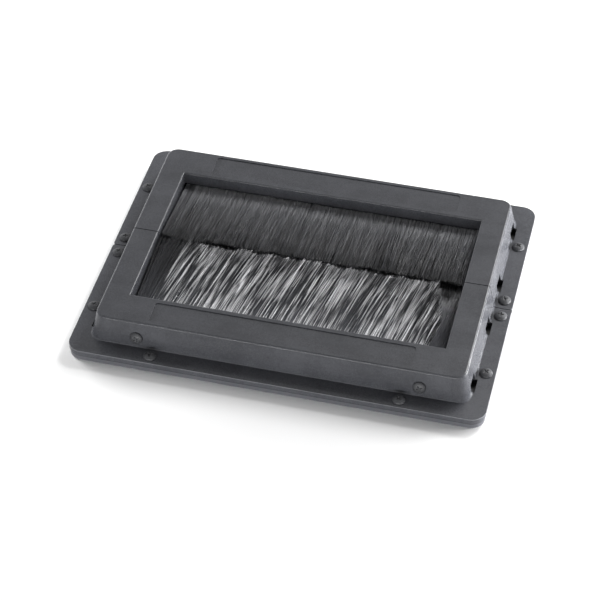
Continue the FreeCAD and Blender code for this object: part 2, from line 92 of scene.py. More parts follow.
# %% [markdown]
# ## Arithmetic for node trees
# Shader trees and geometry trees are both made of nodes, and adding a node for each plus and minus by
# hand hides the idea behind the wiring. The class below wraps one socket. Python's own operators on it
# add Math nodes, so a formula reads as a formula, and node() adds any other node with its settings and
# its sockets.

# %% Arithmetic for node trees
def live_socket(sockets, name):
    """A socket by number or name. A node keeps hidden twins for its other data types, which are skipped."""
    if isinstance(name, int):
        return sockets[name]
    return next(socket for socket in sockets if socket.name == name and socket.enabled)


class Signal:
    """One socket of a node tree, ready for arithmetic."""

    def __init__(self, tree, socket=None):
        self.tree = tree
        self.socket = socket

    def node(self, kind, settings=None, sockets=None, output=0):
        """Adds a node, sets its properties, then feeds its sockets with numbers or other signals."""
        added = self.tree.nodes.new(kind)
        for name, setting in (settings or {}).items():
            setattr(added, name, setting)
        for name, source in (sockets or {}).items():
            target = live_socket(added.inputs, name)
            if isinstance(source, Signal):
                self.tree.links.new(source.socket, target)
            else:
                target.default_value = source
        return Signal(self.tree, live_socket(added.outputs, output) if added.outputs else None)

    def out(self, name):
        """Another output of the same node."""
        return Signal(self.tree, live_socket(self.socket.node.outputs, name))

    def math(self, operation, *others):
        """A Math node on this signal and any others."""
        return self.node("ShaderNodeMath", {"operation": operation}, dict(enumerate((self, *others))))

    def between(self, low, high):
        """This signal, held between two limits."""
        return self.math("MAXIMUM", low).math("MINIMUM", high)

    def mix(self, first, second):
        """Blends two colours, with this signal as the share of the second."""
        sockets = {"Factor": self, "A": first, "B": second}
        return self.node("ShaderNodeMix", {"data_type": "RGBA"}, sockets, "Result")

    def __add__(self, other):
        return self.math("ADD", other)

    def __sub__(self, other):
        return self.math("SUBTRACT", other)

    def __rsub__(self, other):
        return self.node("ShaderNodeMath", {"operation": "SUBTRACT"}, {0: other, 1: self})

    def __mul__(self, other):
        return self.math("MULTIPLY", other)

    def __truediv__(self, other):
        return self.math("DIVIDE", other)

    def __pow__(self, other):
        return self.math("POWER", other)

    __radd__ = __add__
    __rmul__ = __mul__


print("node arithmetic ready")

# %% [markdown]
# ## Floor, backdrop and lamps
# The grommet stands on a plain white floor under studio light. Near the object the floor is only diffuse,
# so it keeps the soft shadow under the front edge. Further out the lamps fade, and a low camera would see
# a grey horizon. There the rays that come straight from the camera find a plain white instead, in the
# floor and in the world behind it, and so do the rays that a shiny surface mirrors. All other rays still
# meet the diffuse floor and the dim world, so that the backdrop adds no light to the object.

# %% Floor and backdrop
FLOOR_SIZE = 40.0
FLOOR_DROP = 0.05 * MM
FLOOR_WHITE = (0.95, 0.95, 0.95, 1.0)
FADE_FROM = 0.3
FADE_OVER = 0.3
WORLD_LIGHT = 0.02
WHITE = (1.0, 1.0, 1.0, 1.0)


def backdrop_seen(tools):
    """1 for rays from the camera, and for those that a shiny or clear surface sends on."""
    path = tools.node("ShaderNodeLightPath", output="Is Camera Ray")
    mirrored = path.out("Is Glossy Ray").math("MAXIMUM", path.out("Is Transmission Ray"))
    return path.math("MAXIMUM", mirrored)


def new_finish(name):
    """An empty material, and a signal that adds nodes to it."""
    material = bpy.data.materials.new(name)
    material.use_nodes = True
    material.node_tree.nodes.clear()
    return material, Signal(material.node_tree)


def floor_material():
    material, tools = new_finish("white_sweep")
    place = tools.node("ShaderNodeTexCoord", output="Object")
    distance = tools.node("ShaderNodeVectorMath", {"operation": "LENGTH"}, {0: place}, "Value")
    far = ((distance - FADE_FROM) / FADE_OVER).between(0.0, 1.0)
    seen = backdrop_seen(tools)
    matt = tools.node("ShaderNodeBsdfDiffuse", sockets={"Color": FLOOR_WHITE})
    white = tools.node("ShaderNodeEmission", sockets={"Color": WHITE, "Strength": 1.0})
    surface = tools.node("ShaderNodeMixShader", sockets={0: far * seen, 1: matt, 2: white})
    tools.node("ShaderNodeOutputMaterial", sockets={"Surface": surface})
    return material


def build_floor():
    mesh = bpy.data.meshes.new("floor")
    half = FLOOR_SIZE / 2
    corners = [(x, y, -FLOOR_DROP) for x, y in ((-half, -half), (half, -half), (half, half), (-half, half))]
    mesh.from_pydata(corners, [], [(0, 1, 2, 3)])
    mesh.materials.append(floor_material())
    floor = bpy.data.objects.new("floor", mesh)
    bpy.context.scene.collection.objects.link(floor)


def build_world():
    world = bpy.data.worlds.new("studio")
    bpy.context.scene.world = world
    world.use_nodes = True
    world.node_tree.nodes.clear()
    tools = Signal(world.node_tree)
    seen = backdrop_seen(tools)
    strength = seen * (1 - WORLD_LIGHT) + WORLD_LIGHT
    backdrop = tools.node("ShaderNodeBackground", sockets={"Color": WHITE, "Strength": strength})
    tools.node("ShaderNodeOutputWorld", sockets={"Surface": backdrop})


build_floor()
build_world()
print("floor", FLOOR_SIZE, "m across, world light", WORLD_LIGHT)

# %% [markdown]
# The photograph tells where its lamps stood. The shadow lies in front of the object and the left inner
# edge of the opening shines, so a large softbox stands behind it on the right. The top faces mirror the
# place straight behind, where only a weak lamp hangs, so they stay dark. A low card on the right lights
# the right end wall. On the left a panel and a low card keep the floor white, and a weak edge card draws
# the thin bright line on the left rail. A low panel in front lifts the front wall. Hardly any light comes
# from all round, so the shadow under the front edge stays deep. Seen from other sides, a low lamp that is
# mirrored in full would burn out the plastic. The lamps on the left, and the larger share of the one on
# the right, are therefore hidden from mirrored rays.

# %% Lamps
LAMPS = {
    "rear_panel": {"azimuth": 150, "elevation": 41, "distance": 1.6, "size": (0.6, 0.6), "watts": 25.5},
    "top_panel": {"azimuth": 185, "elevation": 62, "distance": 1.6, "size": (0.6, 0.6), "watts": 2.1},
    "right_card": {"azimuth": 103, "elevation": 4, "distance": 0.46, "size": (0.3, 0.06), "watts": 3.4},
    "right_fill": {"azimuth": 103, "elevation": 4, "distance": 0.46, "size": (0.3, 0.06), "watts": 4.8},
    "left_panel": {"azimuth": 270, "elevation": 45, "distance": 1.3, "size": (0.6, 0.4), "watts": 4.4},
    "left_card": {"azimuth": 250, "elevation": 10, "distance": 0.8, "size": (0.4, 0.1), "watts": 9.0},
    "edge_card": {"azimuth": 222, "elevation": 16, "distance": 0.7, "size": (0.5, 0.16), "watts": 0.4},
    "front_panel": {"azimuth": 5, "elevation": 5, "distance": 1.1, "size": (1.4, 0.16), "watts": 15.4},
}
UNMIRRORED = ("left_card", "left_panel", "right_fill")
for name, lamp in LAMPS.items():
    light = bpy.data.lights.new(name, "AREA")
    light.shape = "RECTANGLE"
    light.size, light.size_y = lamp["size"]
    light.energy = lamp["watts"]
    softbox = bpy.data.objects.new(name, light)
    softbox.visible_camera = False
    softbox.visible_glossy = name not in UNMIRRORED
    azimuth, elevation = math.radians(lamp["azimuth"]), math.radians(lamp["elevation"])
    place_facing(softbox, Vector(), azimuth, elevation, lamp["distance"])
    print(name, lamp["watts"], "W")

# %% [markdown]
# ## Finishes
# A finish is a Principled BSDF whose colour, roughness and bump vary a little over the surface, as on any
# real material. An image could give that, but noise needs no file and no UV map. All patterns read Object
# coordinates, so they are in metres and the same on every piece.

# %% Helpers for the finishes
def noise(tools, place, grain_size, detail=2.0):
    """A smooth random value from 0 to 1 whose patches are about grain_size across."""
    sockets = {"Vector": place, "Scale": 1 / grain_size, "Detail": detail}
    return tools.node("ShaderNodeTexNoise", sockets=sockets)


def bump(tools, height, depth, strength):
    sockets = {"Height": height, "Distance": depth, "Strength": strength}
    return tools.node("ShaderNodeBump", sockets=sockets)


def shade(tools, sockets):
    shader = tools.node("ShaderNodeBsdfPrincipled", sockets=sockets)
    tools.node("ShaderNodeOutputMaterial", sockets={"Surface": shader})


print("finish helpers ready")

# %% [markdown]
# ### Plastic
# The frames are moulded in charcoal plastic from a finely etched tool. Up close it has a grain under half
# a millimetre, a slightly coarser leather-like unevenness, and faint cloudy patches where the melt
# flowed. The grain could be modelled, but at this size a Bump node gives the same broken highlight for no
# triangles. The flanges and base plates lie lowest, and below a set height their colour is made paler:
# painted light that lifts the shade which the walls cast on them. Their outer rims get a paler band, a
# painted highlight along the edges, and a dark band along the joint between the two layers is painted
# shade. The rims and the joint are bands of height, mixed over the plain colour.

# %% Plastic
FINE_GRAIN = 0.45 * MM
COARSE_GRAIN = 1.6 * MM
CLOUD_SIZE = 24 * MM
FLOW_WIDTH = 5 * MM
FLOW_STRETCH = (0.12, 1.0, 1.0)
CLOUD_SWING = 1.2
FLOW_SWING = 0.7
GRAIN_SWING = 1.3
PLAIN_TONE = 0.4
# Below this height the colour is lifted: painted light against the walls' shade.
PAINTED_LIGHT_BELOW = 9.6 * MM
LOW_PAINTED_LIGHT = 0.45
# The two rim bands get a painted highlight.
FLANGE_RIM = (8.55 * MM, 9.05 * MM)
# The joint band gets painted shade, a dark line where shadow falls between the layers.
JOINT_LINE = (4.1 * MM, 5.1 * MM)
FLOOR_RIM = (0.05 * MM, 1.0 * MM)
RIM_HIGHLIGHT_GREY = (0.20, 0.205, 0.215, 1.0)
JOINT_SHADE_BLACK = (0.010, 0.010, 0.011, 1.0)
JOINT_SHADE = 0.85
FINE_SHARE = 0.6
GRAIN_STRENGTH = 0.5
CLOUD_ROUGHNESS = 0.16
GRAIN_ROUGHNESS = 0.2
PLASTIC_SPECULAR = 0.24


def band(height, limits):
    """1 between two heights and 0 outside them."""
    low, high = limits
    return height.math("GREATER_THAN", low) * height.math("LESS_THAN", high)


def moulded_plastic(name, dark, light, roughness, grain_depth):
    material, tools = new_finish(name)
    place = tools.node("ShaderNodeTexCoord", output="Object")
    stretched = tools.node("ShaderNodeMapping", sockets={"Vector": place, "Scale": FLOW_STRETCH})
    fine = noise(tools, place, FINE_GRAIN)
    coarse = noise(tools, place, COARSE_GRAIN)
    cloud = noise(tools, place, CLOUD_SIZE, 3.0)
    flow = noise(tools, stretched, FLOW_WIDTH, 3.0)
    height = tools.node("ShaderNodeSeparateXYZ", sockets={"Vector": place}, output="Z")
    # Painted light: low surfaces are made paler, which lifts the shade of the walls.
    low_lift = height.math("LESS_THAN", PAINTED_LIGHT_BELOW) * LOW_PAINTED_LIGHT
    swing = (cloud - 0.5) * CLOUD_SWING + (flow - 0.5) * FLOW_SWING + (coarse - 0.5) * GRAIN_SWING
    tone = (swing + PLAIN_TONE + low_lift).between(0.0, 1.0)
    plain = tone.mix((*dark, 1.0), (*light, 1.0))
    # Painted highlight on the flange rim and the bottom rim.
    painted_highlight = (band(height, FLANGE_RIM) + band(height, FLOOR_RIM)) * cloud
    highlighted = painted_highlight.mix(plain, RIM_HIGHLIGHT_GREY)
    grain = fine * FINE_SHARE + coarse * (1 - FINE_SHARE)
    shade(tools, {
        # Painted shade darkens the joint band.
        "Base Color": (band(height, JOINT_LINE) * JOINT_SHADE).mix(highlighted, JOINT_SHADE_BLACK),
        "Roughness": (cloud - 0.5) * CLOUD_ROUGHNESS + (fine - 0.5) * GRAIN_ROUGHNESS + roughness,
        "Specular IOR Level": PLASTIC_SPECULAR,
        "Normal": bump(tools, grain, grain_depth, GRAIN_STRENGTH),
    })
    return material


frame_plastic = moulded_plastic(
    "frame_plastic", dark=(0.034, 0.0352, 0.0397), light=(0.056, 0.0576, 0.0648),
    roughness=0.27, grain_depth=0.10 * MM)
base_plastic = moulded_plastic(
    "base_plastic", dark=(0.060, 0.062, 0.069), light=(0.080, 0.082, 0.091),
    roughness=0.40, grain_depth=0.05 * MM)
holder_plastic = moulded_plastic(
    "holder_plastic", dark=(0.012, 0.012, 0.013), light=(0.020, 0.020, 0.021),
    roughness=0.5, grain_depth=0.08 * MM)
print("plastics:", frame_plastic.name, base_plastic.name, holder_plastic.name)

# %% [markdown]
# ### Metal
# The brush channels are folded from zinc-plated sheet and their core wires are drawn, so both are bright
# metal with fine lines along their length. A noise that is stretched along X gives such lines. The screws
# are steel with a thin black coating, a little worn and greasy. The coating hides the metal, so their
# finish isn't metallic: it has a speckled black colour, and smears that change the gloss.

# %% Metal
LINE_STRETCH = (0.02, 1.0, 1.0)
LINE_DEPTH = 0.02 * MM
LINE_SHARE = 0.5
SPANGLE = 3 * MM
SPECKLE = 0.5 * MM
SPECKLE_DEPTH = 0.03 * MM
SMEAR = 2.5 * MM
METAL_STRENGTH = 0.4
COATING_DARK = (0.022, 0.0226, 0.0245, 1.0)
COATING_LIGHT = (0.036, 0.037, 0.041, 1.0)
COATING_SPECULAR = 0.35


def lined_metal(name, dark, light, line_width):
    """Bare metal with fine lines along X."""
    material, tools = new_finish(name)
    place = tools.node("ShaderNodeTexCoord", output="Object")
    along = tools.node("ShaderNodeMapping", sockets={"Vector": place, "Scale": LINE_STRETCH})
    lines = noise(tools, along, line_width, 3.0)
    spangle = noise(tools, place, SPANGLE)
    tone = lines * LINE_SHARE + spangle * (1 - LINE_SHARE)
    shade(tools, {
        "Base Color": tone.mix((*dark, 1.0), (*light, 1.0)),
        "Roughness": lines * 0.2 + 0.26,
        "Metallic": 1.0,
        "Normal": bump(tools, lines, LINE_DEPTH, METAL_STRENGTH),
    })
    return material


def black_coating(name):
    material, tools = new_finish(name)
    place = tools.node("ShaderNodeTexCoord", output="Object")
    speckle = noise(tools, place, SPECKLE, 3.0)
    smear = noise(tools, place, SMEAR)
    shade(tools, {
        "Base Color": speckle.mix(COATING_DARK, COATING_LIGHT),
        "Roughness": smear * 0.2 + 0.42,
        "Specular IOR Level": COATING_SPECULAR,
        "Normal": bump(tools, speckle, SPECKLE_DEPTH, METAL_STRENGTH),
    })
    return material


channel_steel = lined_metal("channel_steel", (0.40, 0.41, 0.42), (0.52, 0.53, 0.54), 0.25 * MM)
wire_steel = lined_metal("wire_steel", (0.34, 0.35, 0.36), (0.46, 0.47, 0.48), 0.1 * MM)
screw_steel = black_coating("screw_steel")
print("metals:", channel_steel.name, wire_steel.name, screw_steel.name)

# %% [markdown]
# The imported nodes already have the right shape, and each has one material slot with the name that the
# record gives it. Assigning to that slot changes the finish and leaves the mesh alone.

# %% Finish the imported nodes
FINISHES = {
    "frame": frame_plastic,
    "base_plate": base_plastic,
    "brush_holder": holder_plastic,
    "channel": channel_steel,
    "wire": wire_steel,
}
for node_name, node in nodes.items():
    for ending, finish in FINISHES.items():
        if node_name.endswith(ending):
            node.material_slots[0].material = finish
            print(node_name, "takes", finish.name)

# %% [markdown]
# ## Running a geometry tree
# Screws and bristles repeat, so Geometry Nodes make them. A tree is built once, with named inputs for its
# sizes, and runs as a modifier. The export drops live instances, so each result is turned into a plain
# mesh and the modifier is removed. An input is set by its socket's identifier, because two sockets may
# share a name.

# %% Running a geometry tree
def new_tree(name, inputs):
    """An empty geometry tree with named inputs, and the signal of its input node."""
    tree = bpy.data.node_groups.new(name, "GeometryNodeTree")
    for title, kind in inputs.items():
        tree.interface.new_socket(title, in_out="INPUT", socket_type=f"NodeSocket{kind}")
    tree.interface.new_socket("Geometry", in_out="OUTPUT", socket_type="NodeSocketGeometry")
    return tree, Signal(tree).node("NodeGroupInput")


def finish_tree(tools, geometry, material):
    """Ends a tree: instances become real faces, smooth, in their material."""
    whole = tools.node("GeometryNodeRealizeInstances", sockets={"Geometry": geometry})
    smooth = tools.node("GeometryNodeSetShadeSmooth", sockets={"Geometry": whole, "Shade Smooth": True})
    coated = tools.node("GeometryNodeSetMaterial", sockets={"Geometry": smooth, "Material": material})
    tools.node("NodeGroupOutput", sockets={"Geometry": coated})


def grow(piece_name, tree, sizes, start_mesh, replaced):
    """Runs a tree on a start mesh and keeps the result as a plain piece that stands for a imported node."""
    piece = bpy.data.objects.new(piece_name, start_mesh)
    bpy.context.scene.collection.objects.link(piece)
    modifier = piece.modifiers.new(tree.name, "NODES")
    modifier.node_group = tree
    for socket in tree.interface.items_tree:
        if socket.in_out == "INPUT" and socket.name in sizes:
            modifier[socket.identifier] = sizes[socket.name]
    evaluated = piece.evaluated_get(bpy.context.evaluated_depsgraph_get())
    grown = bpy.data.meshes.new_from_object(evaluated)
    piece.modifiers.remove(modifier)
    piece.data = grown
    grown.name = piece_name
    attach(piece, BODY)
    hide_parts(replaced)
    grown.calc_loop_triangles()
    print(piece_name, "has", len(grown.loop_triangles), "triangles")


print("geometry tree helpers ready")

# %% [markdown]
# ## Screws
# Twelve dome-head screws clamp the flanges to the base plates, and four more go through the long walls
# into the brush holders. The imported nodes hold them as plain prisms, so their places are read from there.
# Each solid is one island of the node's mesh. Its vertices spread most along its axis, which the largest
# eigenvector of their covariance gives, and the lower of its widest rings is the seat under the head.

# %% Find the screws
SAME_PLACE = 0.001 * MM
NEAR_RIM = 0.9


def islands(node):
    """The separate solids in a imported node, as arrays of vertex places. A merged copy finds what connects."""
    whole = bmesh.new()
    whole.from_mesh(node.data)
    bmesh.ops.remove_doubles(whole, verts=whole.verts, dist=SAME_PLACE)
    seen = set()
    found = []
    for first in whole.verts:
        if first in seen:
            continue
        seen.add(first)
        waiting, island = [first], []
        while waiting:
            vertex = waiting.pop()
            island.append(vertex.co[:])
            near = [edge.other_vert(vertex) for edge in vertex.link_edges]
            fresh = [other for other in near if other not in seen]
            seen.update(fresh)
            waiting.extend(fresh)
        found.append(np.array(island))
    whole.free()
    return found


def screw_place(points):
    """Where one screw's head sits, which way it points, and its head's radius, height and shank length."""
    middle = points.mean(axis=0)
    axis = np.linalg.eigh(np.cov((points - middle).T))[1][:, -1]
    heights = (points - middle) @ axis
    radii = np.linalg.norm(points - middle - np.outer(heights, axis), axis=1)
    in_head = radii > NEAR_RIM * radii.max()
    if heights[in_head].mean() < heights[~in_head].mean():
        axis, heights = -axis, -heights
    seat = heights[in_head].min()
    return middle + seat * axis, axis, radii.max(), heights.max() - seat, seat - heights.min()


screw_nodes = [name for name in nodes if name.endswith("screws")]
screw_places = {name: [screw_place(points) for points in islands(nodes[name])] for name in screw_nodes}
HEAD_RADIUS, HEAD_HEIGHT, SHANK_LENGTH = screw_places[screw_nodes[0]][0][2:]
print({name: len(places) for name, places in screw_places.items()}, "head radius", round(HEAD_RADIUS / MM, 2))

# %% [markdown]
# The head is a low dome with a cross recess for a driver. A cylinder with rings in its cap gives the
# dome: each vertex of the cap sinks by a power of its distance from the axis. Two crossed blocks are then
# cut out with a Mesh Boolean. The tree makes one screw, and Instance on Points sets it at each place,
# turned about its own axis by a random angle, as screws end up.

# %% Screw tree
SCREW_INPUTS = {
    "Places": "Geometry", "Head radius": "Float", "Head height": "Float", "Rim height": "Float",
    "Shank radius": "Float", "Shank length": "Float",
    "Recess width": "Float", "Recess depth": "Float", "Seed": "Int",
}
HEAD_SIDES = 28
CAP_RINGS = 7
CAP_LEVEL = 0.9
DOME_POWER = 1.6
RECESS_SHARE = 0.9
SHANK_SIDES = 16


def lifted(given, geometry, height):
    """Geometry moved up along Z."""
    offset = given.node("ShaderNodeCombineXYZ", sockets={"Z": height})
    return given.node("GeometryNodeTransform", sockets={"Geometry": geometry, "Translation": offset})


def domed_head(given):
    radius, height = given.out("Head radius"), given.out("Head height")
    blank = given.node("GeometryNodeMeshCylinder", sockets={
        "Vertices": HEAD_SIDES, "Side Segments": 1, "Fill Segments": CAP_RINGS,
        "Radius": radius, "Depth": height,
    })
    place = given.node("ShaderNodeSeparateXYZ", sockets={"Vector": given.node("GeometryNodeInputPosition")})
    x, y, z = place.out("X"), place.out("Y"), place.out("Z")
    outward = (x * x + y * y) / (radius * radius)
    sink = outward ** DOME_POWER * (given.out("Rim height") - height)
    return given.node("GeometryNodeSetPosition", sockets={
        "Geometry": lifted(given, blank, height / 2),
        "Selection": z.math("GREATER_THAN", height * CAP_LEVEL),
        "Offset": given.node("ShaderNodeCombineXYZ", sockets={"Z": sink}),
    })


def cross_recess(given, head):
    """A head with two crossed blocks cut out of its top."""
    radius, height = given.out("Head radius"), given.out("Head height")
    width, depth = given.out("Recess width"), given.out("Recess depth")
    for long_side, short_side in (("X", "Y"), ("Y", "X")):
        size = given.node("ShaderNodeCombineXYZ", sockets={
            long_side: radius * RECESS_SHARE, short_side: width, "Z": depth * 2})
        block = lifted(given, given.node("GeometryNodeMeshCube", sockets={"Size": size}), height)
        head = given.node("GeometryNodeMeshBoolean", {"operation": "DIFFERENCE", "solver": "EXACT"},
                          {"Mesh 1": head, "Mesh 2": block})
    return head


def shank(given):
    length = given.out("Shank length")
    rod = given.node("GeometryNodeMeshCylinder", sockets={
        "Vertices": SHANK_SIDES, "Radius": given.out("Shank radius"), "Depth": length})
    return lifted(given, rod, length * -0.5)


def facing(given):
    """The turn that points a screw along its axis, and spins it about that by a random angle."""
    axis = given.node("GeometryNodeInputNamedAttribute", {"data_type": "FLOAT_VECTOR"}, {"Name": "axis"})
    upright = given.node("FunctionNodeAlignRotationToVector", {"axis": "Z"}, {"Vector": axis})
    turn = given.node("FunctionNodeRandomValue", {"data_type": "FLOAT"},
                      {"Max": math.pi / 2, "Seed": given.out("Seed")}, "Value")
    spin = given.node("FunctionNodeAxisAngleToRotation", sockets={"Axis": (0.0, 0.0, 1.0), "Angle": turn})
    return given.node("FunctionNodeRotateRotation", {"rotation_space": "LOCAL"},
                      {"Rotation": upright, "Rotate By": spin})


def screw_tree():
    tree, given = new_tree("cross_recess_screws", SCREW_INPUTS)
    head = cross_recess(given, domed_head(given))
    screw = given.node("GeometryNodeJoinGeometry", sockets={"Geometry": head})
    tree.links.new(shank(given).socket, screw.socket.node.inputs["Geometry"])
    placed = given.node("GeometryNodeInstanceOnPoints", sockets={
        "Points": given.out("Places"), "Instance": screw, "Rotation": facing(given)})
    finish_tree(given, placed, screw_steel)
    return tree


screws = screw_tree()
print(screws.name, "has", len(screws.nodes), "nodes")

# %% [markdown]
# The places go into the tree as a mesh of loose vertices, one for each screw. A vertex has no direction,
# so the way that the screw points is stored beside it as an attribute, which the tree reads by its name.

# %% Set the screws
def places_mesh(name, places):
    """A mesh of one loose vertex for each screw, with the way it points as an attribute."""
    mesh = bpy.data.meshes.new(name)
    mesh.from_pydata([seat for seat, *rest in places], [], [])
    axes = mesh.attributes.new("axis", "FLOAT_VECTOR", "POINT")
    axes.data.foreach_set("vector", np.array([axis for seat, axis, *rest in places]).ravel())
    return mesh


screw_sizes = {
    "Head radius": HEAD_RADIUS, "Head height": HEAD_HEIGHT, "Rim height": 0.7 * MM,
    "Shank radius": 2.1 * MM, "Shank length": SHANK_LENGTH,
    "Recess width": 0.8 * MM, "Recess depth": 0.7 * MM,
}
for seed, (node_name, places) in enumerate(screw_places.items()):
    start = places_mesh(node_name + "_places", places)
    piece_name = node_name.replace("screws", "screw_set")
    grow(piece_name, screws, {**screw_sizes, "Seed": seed}, start, node_name)

# %% [markdown]
# ## Bristles
# Each brush is a strip of black nylon threads, folded over a wire in a crimped channel. The threads lie
# in loose tufts, lean sideways where cables have pushed them, and end raggedly. Hair particles could make
# them, but a geometry tree gives plain meshes. It scatters roots along the strip, puts a straight
# line on each, bends the lines with a formula of the place along the thread and the place along the
# strip, and sweeps a three-sided profile over them. The tree also leaves two numbers along each thread
# for the finish to read: tone, how grey its black is, which near the roots is also painted light, and
# pale, how much pale paint it carries, for painted glints and for painted light in deep shade.

# %% Bristle finish
NYLON_BLACK = (0.006, 0.006, 0.007, 1.0)
NYLON_GREY = (0.110, 0.114, 0.128, 1.0)
# Pale grey painted on threads: painted glints, and painted light in deep shade.
NYLON_PALE = (0.80, 0.80, 0.82, 1.0)
NYLON_SPECULAR = 0.2
SHEEN_PATCH = 4 * MM
SHEEN_SHARE = 0.2


def black_nylon(name):
    """Extruded nylon. Each thread says how grey its black is and how much pale paint it carries, for painted
    glints and painted light.
    """
    material, tools = new_finish(name)
    tone = tools.node("ShaderNodeAttribute", {"attribute_name": "tone"}, output="Fac")
    pale = tools.node("ShaderNodeAttribute", {"attribute_name": "pale"}, output="Fac")
    place = tools.node("ShaderNodeTexCoord", output="Object")
    sheen = noise(tools, place, SHEEN_PATCH)
    black = (tone * (1 - SHEEN_SHARE) + sheen * SHEEN_SHARE).mix(NYLON_BLACK, NYLON_GREY)
    shade(tools, {
        # Pale paint over the black: painted glints, and painted light in deep shade.
        "Base Color": (pale * (sheen * 0.5 + 0.75)).mix(black, NYLON_PALE),
        "Roughness": sheen * 0.1 + 0.28,
        "Specular IOR Level": NYLON_SPECULAR,
    })
    return material


bristle_nylon = black_nylon("bristle_nylon")
print("bristle finish", bristle_nylon.name)

# %% [markdown]
# The tree starts with straight threads. Random places along the strip get one upright line each, one unit
# long, so that a joint's X tells where its root is, and its Z how far along the thread it lies, from 0 to
# 1. All formulas below read these two. They also need chance of two kinds: a random number for each
# thread, which sets it apart from its neighbours, and a slow noise along the strip, which they share.

# %% Plant the threads
CURTAIN_INPUTS = {
    "Threads": "Int", "Joints": "Int", "Seed": "Int", "Forward": "Float",
    "Root start": "Float", "Root end": "Float", "Root line": "Float",
    "Root height": "Float", "Root spread": "Float",
    "Reach": "Float", "Ragged": "Float", "Frayed": "Float", "Worn from": "Float", "Worn share": "Float",
    "Lean": "Float", "Lean wave": "Float", "Lean scatter": "Float", "Lean room": "Float", "Bow": "Float",
    "Rise": "Float", "Tip spread": "Float", "Fan": "Float", "Side limit": "Float", "Thread radius": "Float",
    "Tone": "Float", "Pale share": "Float", "Pale depth": "Float", "Pale from": "Float",
    "Pale roots": "Float", "Pale tips": "Float",
}
PICKS = 16
SEED_STEP = 7.3
WAVE_STEP = 31.7
WAVE_SWING = 3.2


def straight_threads(given):
    ends = {"Min": given.out("Root start"), "Max": given.out("Root end"), "Seed": given.out("Seed")}
    scatter = given.node("FunctionNodeRandomValue", {"data_type": "FLOAT"}, ends, "Value")
    spots = given.node("ShaderNodeCombineXYZ", sockets={"X": scatter})
    roots = given.node("GeometryNodePoints", sockets={"Count": given.out("Threads"), "Position": spots})
    line = given.node("GeometryNodeCurvePrimitiveLine", sockets={"End": (0.0, 0.0, 1.0)})
    jointed = given.node("GeometryNodeResampleCurve", sockets={"Curve": line, "Count": given.out("Joints")})
    planted = given.node("GeometryNodeInstanceOnPoints", sockets={"Points": roots, "Instance": jointed})
    return given.node("GeometryNodeRealizeInstances", sockets={"Geometry": planted})


def pick(given, number):
    """A random number from -1 to 1 for each thread."""
    thread = given.node("GeometryNodeCurveOfPoint", output="Curve Index")
    seed = given.out("Seed") * PICKS + number
    return given.node("FunctionNodeRandomValue", {"data_type": "FLOAT"},
                      {"Min": -1.0, "Max": 1.0, "ID": thread, "Seed": seed}, "Value")


def wave(given, root, length, number):
    """A smooth swing between about -1 and 1 along the strip, the same for neighbouring threads."""
    where = root / length + given.out("Seed") * SEED_STEP + number * WAVE_STEP
    swing = given.node("ShaderNodeTexNoise", {"noise_dimensions": "1D"},
                       {"W": where, "Scale": 1.0, "Detail": 1.0})
    return (swing - 0.5) * WAVE_SWING


print("a curtain takes", len(CURTAIN_INPUTS), "inputs")

# %% [markdown]
# The bending works in the strip's own terms. A thread starts at the wire, at the distance Root line from
# the seam, and runs Forward towards it by its reach. Its reach varies in slow waves, so the tips make an
# uneven line, and falls off towards a worn end. Lean and bow carry it sideways, and rise lifts it. The
# shared noise gives neighbours the same lean, which makes tufts, and the random numbers break the tufts
# up. The first threads, within Lean room of the end wall, lean less.

# %% Bend the threads
TUFT = 3.0 * MM
SWATHE = 22 * MM
SWATHE_SHARE = 0.6
BOW_SCATTER = 0.5
TUFT_LIFT = 0.5


def thread_reach(given, root):
    worn_from = given.out("Worn from")
    worn = ((root - worn_from) / (given.out("Root end") - worn_from)).math("MAXIMUM", 0.0)
    chance = pick(given, 1)
    even = given.out("Reach") + wave(given, root, SWATHE, 1) * given.out("Ragged")
    frayed = even - chance * chance * given.out("Frayed")
    return frayed * (1 - worn * given.out("Worn share"))


def thread_side(given, root, along, run):
    """The place along the strip, after lean and bow, and between the end walls."""
    shared = wave(given, root, SWATHE, 2) * SWATHE_SHARE + wave(given, root, TUFT, 3) * (1 - SWATHE_SHARE)
    lean = given.out("Lean") + shared * given.out("Lean wave") + pick(given, 2) * given.out("Lean scatter")
    bow = given.out("Bow") * (pick(given, 3) * BOW_SCATTER + 1)
    ease = ((root - given.out("Root start")) / given.out("Lean room")).math("MINIMUM", 1.0)
    side = root * (1 + given.out("Fan") * along) + run * (lean + bow * along) * ease
    limit = given.out("Side limit")
    return side.between(limit * -1, limit)


def thread_lift(given, root, along):
    """The height over the wire. Each thread has its own layer in the strip's thickness."""
    spread = given.out("Root spread") + along * given.out("Tip spread")
    layer = pick(given, 4) + wave(given, root, TUFT, 4) * TUFT_LIFT * along
    return along * given.out("Rise") + layer * spread


def bent_place(given, root, along):
    run = along * thread_reach(given, root)
    return given.node("ShaderNodeCombineXYZ", sockets={
        "X": thread_side(given, root, along, run),
        "Y": (run - given.out("Root line")) * given.out("Forward"),
        "Z": given.out("Root height") + thread_lift(given, root, along),
    })


print("tufts", TUFT / MM, "mm wide in swathes of", SWATHE / MM, "mm")

# %% [markdown]
# Pale streaks on the threads are painted glints: a painted highlight for the lamp mirrored in the nylon.
# Each thread could have one random paleness, but neighbours glint together, so a noise that is fine across
# the strip and slow along the thread is used, which they share. The streaks fade a little at both ends.
# Roots or tips that lie in deep shade can be made paler too, which is painted light.

# %% Paint glints and light on the threads
STREAK = 0.42 * MM
STREAK_WAVES = 2.2
STREAK_SWING = 2.2
STREAK_DRIFT = 0.1
STREAK_SCATTER = 0.12
END_POWER = 8
END_FADE = 0.3
ROOT_POWER = 8
TIP_POWER = 6
TONE_SCATTER = 0.25
# Greyer roots: painted light in the shade under the rails.
ROOT_PAINTED_LIGHT = 0.9


